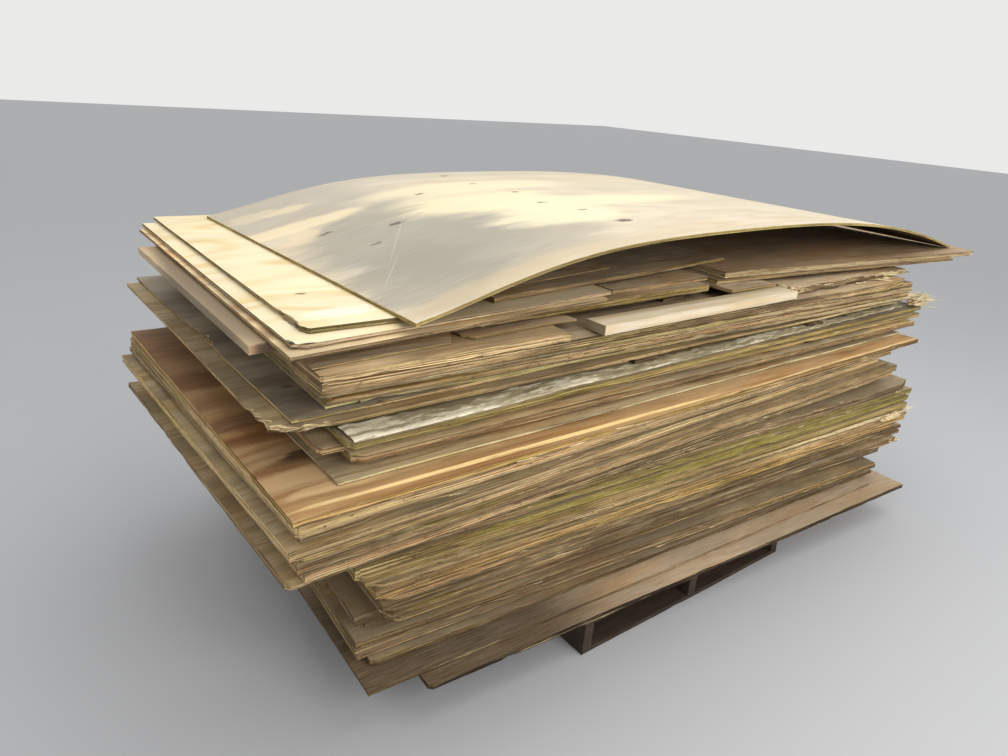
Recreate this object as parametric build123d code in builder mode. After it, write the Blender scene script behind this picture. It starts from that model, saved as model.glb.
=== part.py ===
from build123d import *
from math import cos, radians, sin
import os

# A stack of used plywood sheets on a two-way pallet, in millimetres.
# X runs along the sheets' long side, Y from the front edges to the back, Z up.
# The origin is on the floor, under the middle of the pallet.

# Sheet sizes: a full sheet, and the thicknesses found in the pile.
sheet_length = 2440
sheet_width = 1220
heavy = 28
thick = 19
medium = 12
thin = 9
skin = 6

# Pallet sizes: the stringers run front to back, the deck boards along X.
pallet_width = 1016
pallet_depth = 1219
stringer_width = 38
stringer_height = 89
deck_thickness = 16
wide_board = 140
narrow_board = 89
top_board_count = 7
bottom_board_count = 5
pallet_height = deck_thickness + stringer_height + deck_thickness

# Spacer strips between the layers, cut from the same stock.
strip_width = 90
strip_length = 1000

# Bowed top sheet: the rise of its middle above its two ends.
bow_rise = 128
bow_chord = sheet_length
bow_thickness = 8

# Where a full sheet's edges lie when it is centred on the pallet. Every sheet is placed from these.
left_edge = -sheet_length / 2
right_edge = sheet_length / 2
front_edge = -sheet_width / 2

os.makedirs("parts", exist_ok=True)


def write(name, part):
    """Labels a finished piece and writes its STEP file."""
    part.label = name
    export_step(part, f"parts/{name}.step")


def corner_plane(left, front, bottom, turn):
    """The level plane at a sheet's near-left corner, turned about the vertical by turn degrees."""
    along = (cos(radians(turn)), sin(radians(turn)), 0)
    return Plane(origin=(left, front, bottom), x_dir=along, z_dir=(0, 0, 1))


def panel(bottom, thickness, left, front, turn, length, width=sheet_width, breaks=()):
    """A flat sheet from its near-left corner. Each break is a list of points cut out of its outline."""
    with BuildPart() as sheet:
        with BuildSketch(corner_plane(left, front, bottom, turn)):
            Rectangle(length, width, align=(Align.MIN, Align.MIN))
            for points in breaks:
                with BuildLine():
                    Polyline(*points, close=True)
                make_face(mode=Mode.SUBTRACT)
        extrude(amount=thickness)
    return sheet.part


def front_bite(start, depth, run):
    """A splintered bite out of the front edge, from start along the edge."""
    return [(start, -1), (start + run * 0.15, depth * 0.7), (start + run * 0.45, depth),
            (start + run * 0.8, depth * 0.5), (start + run, -1)]


def corner_break(along, back):
    """A broken near-left corner, along the front edge and back along the left edge."""
    return [(-1, -1), (along, -1), (along * 0.55, back * 0.3), (along * 0.35, back * 0.65), (-1, back)]


def right_break(along, back, trim):
    """A broken near-right corner of a sheet that is trim shorter than a full one."""
    end = sheet_length - trim
    return [(end + 1, -1), (end - along, -1), (end - along * 0.6, back * 0.35), (end + 1, back)]


def left_bite(start, depth, run):
    """A splintered bite out of the left edge, from start towards the back."""
    return [(-1, start), (depth * 0.8, start + run * 0.2), (depth, start + run * 0.55), (-1, start + run)]


spacer_strips = []


def lay_strips(level, thickness, left, front, length, places):
    """Lays strips front to back on a sheet. A place is its share along it, its setback and its turn."""
    for share, setback, turn in places:
        start = left + share * (length - strip_width)
        strip = panel(level, thickness, start, front + setback, turn, strip_width, strip_length)
        spacer_strips.append(strip)
    return level + thickness


def lay_sheets(prefix, rows, gaps, level):
    """Lays numbered sheets on each other from level up, with strips above each sheet that gaps names."""
    for number, (thickness, along, back, turn, trim, breaks) in enumerate(rows, 1):
        left, front, length = left_edge + along, front_edge + back, sheet_length - trim
        write(f"{prefix}_{number:02}", panel(level, thickness, left, front, turn, length, breaks=breaks))
        level += thickness
        if number in gaps:
            level = lay_strips(level, medium, left, front, length, gaps[number])
    return level


def boards(bottom, count, edge_width, inner_width):
    """A row of boards along X, evenly spread over the pallet's depth, with wider boards at both edges."""
    pitch = (pallet_depth - edge_width) / (count - 1)
    with BuildPart() as row:
        with BuildSketch(Plane.XY.offset(bottom)):
            for index in range(count):
                width = edge_width if index in (0, count - 1) else inner_width
                with Locations((0, index * pitch - (pallet_depth - edge_width) / 2)):
                    Rectangle(pallet_width, width)
        extrude(amount=deck_thickness)
    return row.part


def stringer(position):
    """A stringer on edge, running front to back."""
    with BuildPart() as beam:
        with BuildSketch(Plane.XY.offset(deck_thickness)):
            with Locations((position, 0)):
                Rectangle(stringer_width, pallet_depth)
        extrude(amount=stringer_height)
    return beam.part


# Pallet: bottom boards, three stringers and top boards, all butted face to face.
stringer_reach = (pallet_width - stringer_width) / 2
write("bottom_boards", boards(0, bottom_board_count, wide_board, narrow_board))
write("stringer_left", stringer(-stringer_reach))
write("stringer_middle", stringer(0))
write("stringer_right", stringer(stringer_reach))
write("top_boards", boards(deck_thickness + stringer_height, top_board_count, wide_board, narrow_board))

# Each sheet below is a row: its thickness, how far its near-left corner lies from the centred place along X
# and Y, its turn in degrees, how much shorter it is than a full sheet, and the breaks in its outline.
# Bottom sheets: a cut sheet set to the right, and one that juts out at the near-left corner.
bottom_rows = [
    (thick, 183, 26, -3.4, 170, [corner_break(14, 10)]),
    (medium, 39, 80, -2.9, 175, []),
]
level = lay_sheets("bottom_sheet", bottom_rows, {}, pallet_height)

# Lower sheets: turned clockwise, their left ends stepping out towards the top.
lower_rows = [
    (thick, 85, 150, -3.6, 130, [corner_break(25, 12)]),
    (thick, 52, 165, -4.1, 95, []),
    (medium, 50, 170, -4.6, 125, [front_bite(340, 9, 120)]),
    (thick, 53, 174, -4.8, 140, []),
    (thick, 100, 215, -4.4, 150, []),
    (heavy, 70, 210, -4.6, 120, []),
    (thick, 55, 190, -5.2, 90, [right_break(60, 30, 90)]),
    (thick, 108, 97, -3.3, 100, [corner_break(30, 35)]),
    (heavy, 95, 100, -3.8, 150, [corner_break(22, 40), front_bite(900, 8, 150)]),
    (thick, 90, 105, -3.6, 100, []),
    (thick, 84, 103, -3.5, 85, [corner_break(40, 30)]),
    (thick, 75, 93, -3.6, 115, [corner_break(18, 25), right_break(90, 26, 115)]),
    (heavy, 56, 80, -3.2, 80, []),
    (thick, 44, 75, -3.3, 85, [corner_break(35, 22), front_bite(620, 10, 200)]),
    (thick, 27, 77, -3.5, 80, [right_break(70, 20, 80)]),
    (heavy, 5, 73, -3.4, 85, [corner_break(28, 18)]),
    (heavy, -5, 65, -3, 60, [front_bite(1350, 9, 180)]),
    (heavy, 5, 70, -3.2, 65, []),
    (heavy, -15, 58, -2.8, 50, [right_break(80, 25, 50)]),
]
lower_gaps = {
    1: [(0.02, 55, -4), (0.37, -10, -3), (0.74, -40, -4), (0.96, -40, -4)],
    7: [(0.04, 50, -5), (0.33, -20, -2), (0.70, -80, -4), (0.96, -130, -4)],
    11: [(0.04, 82, -3), (0.28, -23, -4), (0.63, -33, -3), (0.95, -83, -3)],
}
level = lay_sheets("lower_sheet", lower_rows, lower_gaps, level)

# Middle sheets: they overhang the lower ones to the left and in front.
middle_rows = [
    (thick, -191, -5, 0.7, 0, [corner_break(12, 12)]),
    (heavy, -161, -28, 0.4, 0, []),
    (medium, -168, -30, 0.3, 40, [front_bite(1000, 7, 160)]),
    (heavy, -184, -49, 0.2, 20, []),
    (medium, -183, -45, 0.6, 60, [corner_break(16, 30)]),
    (heavy, -200, -50, 1, 110, []),
    (thick, -183, -62, 0.8, 180, [front_bite(130, 12, 210)]),
    (heavy, -193, -71, 0.2, 150, [corner_break(10, 8)]),
    (thick, -200, -74, -0.3, 0, []),
]
middle_gaps = {
    6: [(0.02, 75, 0), (0.38, 60, 1), (0.74, 50, -1), (0.95, 60, 0)],
}
level = lay_sheets("middle_sheet", middle_rows, middle_gaps, level)

# Upper sheets: mixed and weathered, with dark gaps between them and two that jut out to the left.
upper_rows = [
    (thin, -74, 0, -0.5, 140, []),
    (thick, -27, 24, -1.1, 80, [corner_break(26, 18)]),
    (thick, -94, 45, -1.6, 0, [corner_break(9, 14)]),
    (thick, -50, -6, 0, 0, [corner_break(16, 22), front_bite(520, 7, 240)]),
    (medium, -178, 63, -0.7, 0, [corner_break(58, 34)]),
    (thin, -131, 84, -0.1, 0, [left_bite(520, 7, 160)]),
    (thick, -57, 93, -2.2, 120, [front_bite(75, 12, 110)]),
    (heavy, -66, 70, -2, 140, []),
    (thick, -88, 50, -1.9, 140, [front_bite(1500, 8, 220)]),
    (thick, -96, 29, -1.5, 150, [corner_break(10, 14)]),
    (heavy, -112, -16, -1.2, 230, [right_break(160, 24, 230)]),
]
upper_gaps = {
    1: [(0.04, 86, -1), (0.37, 56, 0), (0.72, 26, -2), (0.97, 16, -1)],
    2: [(0.03, 114, -2), (0.37, 14, 1), (0.73, -6, -2), (0.94, -6, -2)],
    4: [(0.04, 146, -2), (0.37, 56, 0), (0.72, 36, -1), (0.95, 56, 0)],
}
deck_level = lay_sheets("upper_sheet", upper_rows, upper_gaps, level)

# Levels above the last full sheet: scraps and a short sheet, thick scraps, two tapered sheets, end pieces.
scrap_level = deck_level + thick
block_level = scrap_level + skin
taper_level = block_level + thick
crown_level = taper_level + 2 * medium
end_level = crown_level + medium

# Left half: a short sheet, a pale new board, and a board across the left edge.
short_left = left_edge - 120
short_length = 600
board_left = left_edge + 578
board_length = 810
board_width = 70
cross_width = 90
board_thickness = block_level - deck_level
cross_length = sheet_width - 315
short_breaks = [corner_break(8, 8)]
short_sheet = panel(deck_level, thick, short_left, front_edge - 29, -1.5, short_length, breaks=short_breaks)
new_board = panel(deck_level, board_thickness, board_left, front_edge - 52, 0.2, board_length, board_width)
cross_board = panel(block_level, thick, left_edge - 199, front_edge + 110, -1.3, cross_width, cross_length)
write("short_sheet", short_sheet)
write("new_board", new_board)
write("cross_board", cross_board)

# Two tapered sheets, the upper one with a broken corner, and the end sheet that they carry.
taper_left = left_edge - 167
taper_front = front_edge - 7
taper_turn = -1.9
taper_length = 845
taper_depth = 84
upper_length = taper_length + 18
taper = [(-1, -1), (taper_length + 1, -1), (taper_length + 1, taper_depth)]
upper_taper = [(-1, -1), (upper_length + 1, -1), (upper_length + 1, taper_depth)]
taper_breaks = [upper_taper, corner_break(34, 16)]
taper_top = taper_level + medium
lower_tapered = panel(taper_level, medium, taper_left, taper_front, taper_turn, taper_length, breaks=[taper])
upper_tapered = panel(taper_top, medium, taper_left + 14, taper_front + 19, taper_turn, upper_length,
                      breaks=taper_breaks)
write("tapered_sheet_lower", lower_tapered)
write("tapered_sheet_upper", upper_tapered)
end_length = 270
end_left = left_edge - 112
end_breaks = [corner_break(14, 22)]
end_sheet = panel(crown_level, medium, end_left, front_edge + 58, -2.0, end_length, breaks=end_breaks)
write("end_sheet", end_sheet)

# Right half: a splintered sheet beside the new board, a spacer strip, and two sheets turned to the front.
splinter_left = board_left + board_length + 17
splinter_length = right_edge - 275 - splinter_left
splinter_front = front_edge - 23
splinters = [front_bite(120, 10, 120), front_bite(300, 12, 190), front_bite(560, 14, 150)]
right_low_level = block_level + medium
right_top_level = right_low_level + medium
right_low_left = splinter_left - 245
right_low_length = right_edge - 10 - right_low_left
right_top_left = splinter_left - 207
right_top_length = right_edge + 153 - right_top_left
lower_right = panel(right_low_level, medium, right_low_left, front_edge + 78, -6, right_low_length)
upper_right = panel(right_top_level, thick, right_top_left, front_edge + 80, -5.8, right_top_length)
splintered = panel(deck_level, board_thickness, splinter_left, splinter_front, -0.3, splinter_length,
                   breaks=splinters)
write("right_sheet_lower", lower_right)
write("right_sheet_upper", upper_right)
write("splintered_sheet", splintered)
lay_strips(block_level, medium, splinter_left, splinter_front, splinter_length, [(0.97, 43, 0)])

# Thick offcuts: two fill the space beside each other on the block level, one lies higher under the bow.
# Two spacer strips behind the new board carry the first two.
block_left = left_edge + 295
block_front = front_edge + 54
block_length = 820
lay_strips(deck_level, board_thickness, block_left, block_front, block_length, [(0.9, 40, 1), (1.28, 40, 0)])
write("spacer_strips", Compound(children=spacer_strips))
thick_offcuts = [
    panel(block_level, thick, block_left, block_front, 1.0, block_length, 700),
    panel(crown_level, medium, left_edge + 354, front_edge + 88, 6.1, 997, 420),
    panel(block_level, medium, splinter_left - 260, front_edge + 10, 0.5, 222, 500),
]
write("thick_offcuts", Compound(children=thick_offcuts))

# Thin offcuts: a torn scrap, a narrow one up to the new board, a slip beyond the tapered sheets, one on top.
torn_left = left_edge - 123
torn_length = 352
narrow_left = torn_left + torn_length + 5
narrow_length = board_left - 20 - narrow_left
slip_left = taper_left + taper_length + 72
slip_length = block_left + block_length + 35 - slip_left
torn_break = [(torn_length + 1, -1), (torn_length - 40, -1), (torn_length - 24, 21), (torn_length + 1, 60)]
thin_offcuts = [
    panel(scrap_level, skin, torn_left, front_edge + 1, 2.0, torn_length, 700, [torn_break]),
    panel(scrap_level, skin, narrow_left, front_edge + 12, 2.0, narrow_length, 600, [corner_break(20, 30)]),
    panel(taper_level, medium, slip_left, front_edge + 100, 0.4, slip_length, 450),
    panel(end_level, skin, left_edge + 450, front_edge + 145, 9.0, 399, 330),
]
write("thin_offcuts", Compound(children=thin_offcuts))

# Bowed top sheet: its ends rest on the end sheet and on the upper right sheet, and its middle stands clear.
bow_left = left_edge + 81
bow_front = front_edge - 22
bow_turn = 0.6
bow_shape = [(0.08, 0.37), (0.18, 0.76), (0.30, 0.95), (0.50, 1.0), (0.69, 0.875), (0.82, 0.60)]
bow_ends = [(0, end_level), (bow_chord, crown_level)]
bow_middle = [(along * bow_chord, end_level + share * bow_rise) for along, share in bow_shape]
underside = [bow_ends[0], *bow_middle, bow_ends[1]]
topside = [(x, z + bow_thickness) for x, z in underside]
bow_direction = (cos(radians(bow_turn)), sin(radians(bow_turn)), 0)
bow_facing = (sin(radians(bow_turn)), -cos(radians(bow_turn)), 0)
with BuildPart() as bowed_sheet:
    with BuildSketch(Plane(origin=(bow_left, bow_front, 0), x_dir=bow_direction, z_dir=bow_facing)):
        with BuildLine():
            Spline(*underside)
            Line(underside[-1], topside[-1])
            Spline(*topside)
            Line(topside[0], underside[0])
        make_face()
    extrude(amount=-sheet_width)
write("bowed_sheet", bowed_sheet.part)
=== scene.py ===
import math
import bpy
import numpy as np
from mathutils import Matrix, Vector


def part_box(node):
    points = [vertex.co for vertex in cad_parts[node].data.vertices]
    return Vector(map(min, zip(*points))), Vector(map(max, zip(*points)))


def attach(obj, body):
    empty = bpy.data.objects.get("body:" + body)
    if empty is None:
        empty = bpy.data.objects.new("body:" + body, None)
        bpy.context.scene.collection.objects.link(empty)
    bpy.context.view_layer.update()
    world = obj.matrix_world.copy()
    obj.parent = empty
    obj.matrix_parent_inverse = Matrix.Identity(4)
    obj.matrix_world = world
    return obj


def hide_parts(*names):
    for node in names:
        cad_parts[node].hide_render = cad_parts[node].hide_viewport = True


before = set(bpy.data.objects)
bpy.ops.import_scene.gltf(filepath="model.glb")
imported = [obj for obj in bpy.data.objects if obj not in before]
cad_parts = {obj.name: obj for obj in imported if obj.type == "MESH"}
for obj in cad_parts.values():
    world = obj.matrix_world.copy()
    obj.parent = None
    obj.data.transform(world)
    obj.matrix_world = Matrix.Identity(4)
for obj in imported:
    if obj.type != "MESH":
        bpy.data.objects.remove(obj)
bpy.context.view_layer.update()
print("frame loaded:", len(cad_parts), "nodes")

# camera and studio
cameraSet = {
    "place": (-1.865, -1.80, 1.567),   # metres
    "turn": 39.26,      # degrees, view direction from +Y towards +X
    "pitch": 21.254,    # degrees down from level
    "roll": 4.420,
    "lens": 26.48,      # mm
    "sensor": 36,       # width, mm
}
studioSet = {
    "floorReach": 30,       # metres from the middle
    "floorColour": (0.42, 0.43, 0.45), "floorRough": 0.6,
    "skyColour": (0.97, 0.97, 0.96),
    "skyStrength": 0.85,
    # name: place, aimed at, size in metres, power in watts, colour
    "lamps": {
        "overhead": ((0.4, -0.4, 3.9), (0.0, 0.0, 0.8), 3.6, 76, (1.0, 0.985, 0.95)),
        "front": ((-0.2, -4.4, 2.6), (0.0, 0.0, 0.6), 3.0, 135, (1.0, 0.98, 0.95)),
    },
}


def makeCamera(values):
    # view = ahead * cos(pitch) - up * sin(pitch), and the frame is rolled about it
    turn, pitch, roll = (math.radians(values[key]) for key in ("turn", "pitch", "roll"))
    ahead = Vector((math.sin(turn), math.cos(turn), 0))
    side = Vector((math.cos(turn), -math.sin(turn), 0))
    view = ahead * math.cos(pitch) - Vector((0, 0, 1)) * math.sin(pitch)
    top = side.cross(view)
    rolledSide = side * math.cos(roll) + top * math.sin(roll)
    rolledTop = top * math.cos(roll) - side * math.sin(roll)
    camera = bpy.data.objects.new("photoCamera", bpy.data.cameras.new("photoCamera"))
    axes = Matrix((rolledSide, rolledTop, -view)).transposed().to_4x4()
    camera.matrix_world = Matrix.Translation(values["place"]) @ axes
    camera.data.lens = values["lens"]
    camera.data.sensor_width = values["sensor"]
    bpy.context.scene.collection.objects.link(camera)
    bpy.context.scene.camera = camera


def makeStudio(values):
    mesh = bpy.data.meshes.new("floor")
    far = values["floorReach"]
    corners = [(-far, -far, 0), (far, -far, 0), (far, far, 0), (-far, far, 0)]
    mesh.from_pydata(corners, [], [(0, 1, 2, 3)])
    floor = bpy.data.objects.new("floor", mesh)
    bpy.context.scene.collection.objects.link(floor)
    material = bpy.data.materials.new("floorPaint")
    material.use_nodes = True
    shader = material.node_tree.nodes["Principled BSDF"]
    shader.inputs["Base Color"].default_value = (*values["floorColour"], 1)
    shader.inputs["Roughness"].default_value = values["floorRough"]
    mesh.materials.append(material)
    world = bpy.data.worlds.new("studio")
    world.use_nodes = True
    sky = world.node_tree.nodes["Background"]
    sky.inputs["Color"].default_value = (*values["skyColour"], 1)
    sky.inputs["Strength"].default_value = values["skyStrength"]
    bpy.context.scene.world = world
    for name, (place, target, size, power, colour) in values["lamps"].items():
        lamp = bpy.data.lights.new(name, "AREA")
        lamp.shape, lamp.size, lamp.energy, lamp.color = "SQUARE", size, power, colour
        holder = bpy.data.objects.new(name, lamp)
        holder.location = place
        aim = Vector(target) - Vector(place)
        holder.rotation_euler = aim.to_track_quat("-Z", "Y").to_euler()
        bpy.context.scene.collection.objects.link(holder)
    bpy.context.scene.view_settings.view_transform = "Standard"


makeCamera(cameraSet)
makeStudio(studioSet)
print("camera, floor and light ready")


# material building blocks
def put(tree, kind, sockets=None, output=0, **settings):
    # one node: settings go on the node, sockets take a value or another node's output
    node = tree.nodes.new("ShaderNode" + kind)
    for key, value in settings.items():
        setattr(node, key, value)
    for key, value in (sockets or {}).items():
        if isinstance(value, bpy.types.NodeSocket):
            tree.links.new(value, node.inputs[key])
        else:
            node.inputs[key].default_value = value
    return node.outputs[output]


def sums(tree, operation, first, second=0.5, third=0.0, clamp=False):
    sockets = {0: first, 1: second, 2: third}
    return put(tree, "Math", sockets, operation=operation, use_clamp=clamp)


def times(tree, first, second, plus=None, clamp=False):
    # first * second, or first * second + plus
    if plus is None:
        return sums(tree, "MULTIPLY", first, second)
    return sums(tree, "MULTIPLY_ADD", first, second, plus, clamp)


def blend(tree, share, first, second, kind="MIX"):
    # share 0 gives first, share 1 gives second
    sockets = {0: share}
    for key, value in ((6, first), (7, second)):
        sockets[key] = (*value, 1) if isinstance(value, tuple) else value
    return put(tree, "Mix", sockets, output=2, data_type="RGBA", blend_type=kind)


def lay(tree, colour, mask, amount, tint):
    # lays a tint over the colour, by mask * amount
    return blend(tree, times(tree, mask, amount), colour, tint)


def shaded(tree, colour, tint):
    return blend(tree, 1.0, colour, tint, "MULTIPLY")


def noise(tree, place, scale, detail=2.0, rough=0.5, stretch=(1, 1, 1), shift=(0, 0, 0)):
    moved = put(tree, "Mapping", {"Vector": place, "Scale": stretch, "Location": shift})
    sockets = {"Vector": moved, "Scale": scale, "Detail": detail, "Roughness": rough}
    return put(tree, "TexNoise", sockets)


def steps(tree, value, limits):
    # 0 at the first limit, 1 at the second, and smooth between them
    sockets = {"Value": value, "From Min": limits[0], "From Max": limits[1]}
    return put(tree, "MapRange", sockets, interpolation_type="SMOOTHSTEP")


def startMaterial(name, values):
    material = bpy.data.materials.new(name)
    material.use_nodes = True
    tree = material.node_tree
    shader = tree.nodes["Principled BSDF"]
    shader.inputs["Roughness"].default_value = values["rough"]
    shader.inputs["Specular IOR Level"].default_value = values["gloss"]
    return material, tree, shader


def endMaterial(tree, shader, colour, height, values):
    # relief: how many metres a height of 1 stands for; bump: how strongly it shows
    tree.links.new(colour, shader.inputs["Base Color"])
    sockets = {"Height": height, "Distance": values["relief"], "Strength": values["bump"]}
    tree.links.new(put(tree, "Bump", sockets), shader.inputs["Normal"])


def sheetInputs(tree):
    # the map along the grain, the place in the scene, the piece's tone and its three kinds of wear, the
    # first of which also carries painted shade at the joins between sheets
    place = put(tree, "UVMap", uv_map="sheetMap")
    spot = put(tree, "TexCoord", output=3)
    tone = put(tree, "VertexColor", layer_name="tone")
    wearAndShade = put(tree, "SeparateColor", {"Color": put(tree, "VertexColor", layer_name="wearAndShade")})
    return place, spot, tone, wearAndShade.node.outputs


def patch(tree, place, centre, reach, turn=0.0, soft=0.3):
    # an oval mask at every height: 1 inside, 0 outside, with a soft rim
    deep = 1000
    sockets = {"Vector": place, "Location": (*centre, 0), "Rotation": (0, 0, turn),
               "Scale": (*reach, deep)}
    moved = put(tree, "Mapping", sockets, vector_type="TEXTURE")
    size = put(tree, "VectorMath", {0: moved}, output=1, operation="LENGTH")
    return steps(tree, size, (1 + soft, 1 - soft))


def fingered(tree, place, values):
    # moves the place along the grain by a noise that changes quickly across it, and a quarter as far
    # across the grain, so patches end in fingers
    moves = []
    for key, reach in (("fingerEnds", values["finger"]), ("fingerSides", values["finger"] * 0.25)):
        wander = sums(tree, "SUBTRACT", noise(tree, place, *values[key]), 0.5)
        moves.append(times(tree, wander, reach))
    offset = put(tree, "CombineXYZ", {0: moves[0], 1: moves[1]})
    return put(tree, "VectorMath", {0: place, 1: offset}, operation="ADD")


def faceMaterial(name, values):
    # a sheet's face: its tone, darkened along flames and fibres, then stains, patches, marks and knots
    material, tree, shader = startMaterial(name, values)
    place, spot, tone, wearAndShade = sheetInputs(tree)
    # contour lines of a stretched noise give a peeled veneer's flames; thin streaks give its fibres
    flame = noise(tree, place, values["flameScale"], 2.5, 0.45, (1, values["flameStretch"], 1))
    rings = sums(tree, "SINE", times(tree, flame, values["flameLines"]))
    rings = sums(tree, "POWER", times(tree, rings, 0.5, 0.5), 2.0)
    fade = steps(tree, noise(tree, place, *values["fade"]), values["fadeSteps"])
    rings = times(tree, rings, fade)
    fibre = noise(tree, place, *values["fibre"])
    broad = steps(tree, noise(tree, place, *values["broad"]), values["broadSteps"])
    dark = shaded(tree, tone, values["latewood"])
    colour = lay(tree, tone, rings, values["flameDepth"], dark)
    colour = lay(tree, colour, steps(tree, fibre, values["fibreSteps"]), values["fibreDepth"], dark)
    colour = blend(tree, broad, colour, shaded(tree, colour, values["warm"]))
    # grime: broad blotches along the grain, more where the wear attribute says so
    grime = times(tree, wearAndShade[0], values["grime"], noise(tree, place, *values["blot"]))
    grime = steps(tree, grime, values["grimeSteps"])
    colour = lay(tree, colour, grime, values["stain"], values["stainAndShadeColour"])
    # patches of other colours, with ends that finger along the grain
    ragged = fingered(tree, spot, values)
    speckle = times(tree, steps(tree, fibre, values["speckleSteps"]), *values["speckle"])
    for centre, reach, tint, amount in values["patches"]:
        inside = patch(tree, ragged, centre, reach, 0, values["patchSoft"])
        colour = lay(tree, colour, inside, times(tree, speckle, amount), tint)
    crumbled = times(tree, noise(tree, spot, *values["crumbs"]), *values["crumbled"], clamp=True)
    for centre, reach, turn, tint, amount in values["marks"]:
        inside = times(tree, patch(tree, spot, centre, reach, turn), crumbled)
        colour = lay(tree, colour, inside, amount, tint)
    for centre, reach, turn in values["scratches"]:
        line = patch(tree, spot, centre, reach, turn, 0.6)
        colour = lay(tree, colour, line, values["scratch"], values["scratchTint"])
    # knots: scattered dark spots on a wide grid of cells, and placed ones with wavering rims
    cells = put(tree, "Mapping", {"Vector": place, "Scale": values["knotCells"]})
    spots = put(tree, "TexVoronoi", {"Vector": cells, "Scale": 1.6, "Randomness": 1.0})
    knots = times(tree, steps(tree, spots, values["knotSteps"]), values["knots"])
    wobble = put(tree, "TexNoise", {"Vector": spot, "Scale": 55, "Detail": 2}, output=1)
    waver = values["waver"]
    moved = {0: wobble, 1: (waver, waver, 0), 2: spot}
    moved = {0: put(tree, "VectorMath", moved, operation="MULTIPLY_ADD"), 1: (waver / 2, waver / 2, 0)}
    wobble = put(tree, "VectorMath", moved, operation="SUBTRACT")
    for centre, size in values["knotPlaces"]:
        oval = patch(tree, wobble, centre, (size * 1.7, size * 0.75), 0.1, 0.5)
        knots = sums(tree, "MAXIMUM", knots, oval)
    heart = blend(tree, steps(tree, fibre, (0.35, 0.7)), values["knotDark"], values["knotPale"])
    colour = lay(tree, colour, knots, 0.85, heart)
    endMaterial(tree, shader, colour, times(tree, rings, 0.35, times(tree, fibre, 0.65)), values)
    return material


def edgeMaterial(name, values):
    # a sheet's edge: v counts plies, so every second ply is end grain, with dark glue lines between
    material, tree, shader = startMaterial(name, values)
    place, _, tone, wearAndShade = sheetInputs(tree)
    axes = put(tree, "SeparateXYZ", {"Vector": place}).node.outputs
    level = sums(tree, "FLOOR", axes[1])
    odd = sums(tree, "MODULO", level, 2.0)
    glue = sums(tree, "ABSOLUTE", sums(tree, "SUBTRACT", sums(tree, "FRACT", axes[1]), 0.5))
    glue = steps(tree, glue, values["glueSteps"])
    # each ply has its own run of light and dark, so those noises are read at whole steps of v
    stepped = put(tree, "CombineXYZ", {0: axes[0], 1: times(tree, level, 7.31)})
    noises = {kind: noise(tree, stepped, *recipe) for kind, recipe in values["plyNoises"].items()}
    for kind, recipe in values["longNoises"].items():
        noises[kind] = noise(tree, place, *recipe)
    colour = lay(tree, tone, odd, values["endGrain"], shaded(tree, tone, values["endGrainTint"]))
    green, rosy = (shaded(tree, colour, values[key]) for key in ("greener", "rosier"))
    colour = blend(tree, steps(tree, noises["drift"], values["greenSteps"]), colour, green)
    colour = blend(tree, steps(tree, noises["drift"], values["rosySteps"]), colour, rosy)
    darker = shaded(tree, colour, values["darker"])
    tints = {"darker": darker, "lighter": blend(tree, 0.65, colour, values["lighter"])}
    for kind, limits, amount, tint in values["layers"]:
        colour = lay(tree, colour, steps(tree, noises[kind], limits), amount, tints[tint])
    colour = lay(tree, colour, glue, values["glue"], values["glueTint"])
    # short dashes of dirt, then the three kinds of wear: grime (on the outermost plies also painted
    # shade at the joins between sheets), moss and raw wood
    for kind, limits, amount, tint in (
            ("dashes", (0.64, 0.72), 0.7, "grimeColour"), ("blot", (0.44, 0.64), wearAndShade[0], "grimeColour"),
            ("streak", (0.44, 0.62), wearAndShade[1], "moss")):
        colour = lay(tree, colour, steps(tree, noises[kind], limits), amount, values[tint])
    raw = steps(tree, noises["pores"], (0.4, 0.7))
    colour = blend(tree, wearAndShade[2], colour, blend(tree, raw, values["rawWood"], values["rawShade"]))
    relief = times(tree, noises["short"], 0.5, times(tree, noises["pores"], 0.5))
    endMaterial(tree, shader, colour, times(tree, glue, -0.5, relief), values)
    return material


def boardMaterial(name, values):
    # a sawn board: long streaks down its length, growth rings on its ends, saw marks across it
    material, tree, shader = startMaterial(name, values)
    place, spot, tone, wearAndShade = sheetInputs(tree)
    warp = noise(tree, place, *values["warp"])
    streaks = sums(tree, "SINE", times(tree, warp, values["lines"]))
    fibre = noise(tree, place, *values["fibre"])
    rings = put(tree, "TexWave", {"Vector": spot, **values["rings"]}, output=1,
                wave_type="RINGS", rings_direction="X")
    dark = shaded(tree, tone, values["latewood"])
    colour = lay(tree, tone, times(tree, streaks, 0.5, 0.5), values["streak"], dark)
    colour = lay(tree, colour, steps(tree, fibre, (0.4, 0.7)), 0.5, dark)
    colour = blend(tree, wearAndShade[2], colour, lay(tree, tone, rings, 0.6, dark))
    # stain blotches by the first wear channel: dirt, and painted shade on the outermost plies of the
    # boards' sides
    blot = steps(tree, noise(tree, spot, *values["blot"]), (0.45, 0.7))
    colour = lay(tree, colour, blot, wearAndShade[0], values["stainAndShadeColour"])
    # marks: coloured ovals; on the planed boards several of them are painted shade
    for centre, reach, turn, tint, amount in values["marks"]:
        colour = lay(tree, colour, patch(tree, spot, centre, reach, turn), amount, tint)
    saw = put(tree, "TexWave", {"Vector": place, **values["sawMarks"]}, output=1)
    endMaterial(tree, shader, colour, times(tree, saw, values["saw"], times(tree, fibre, 0.6)), values)
    return material


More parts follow.
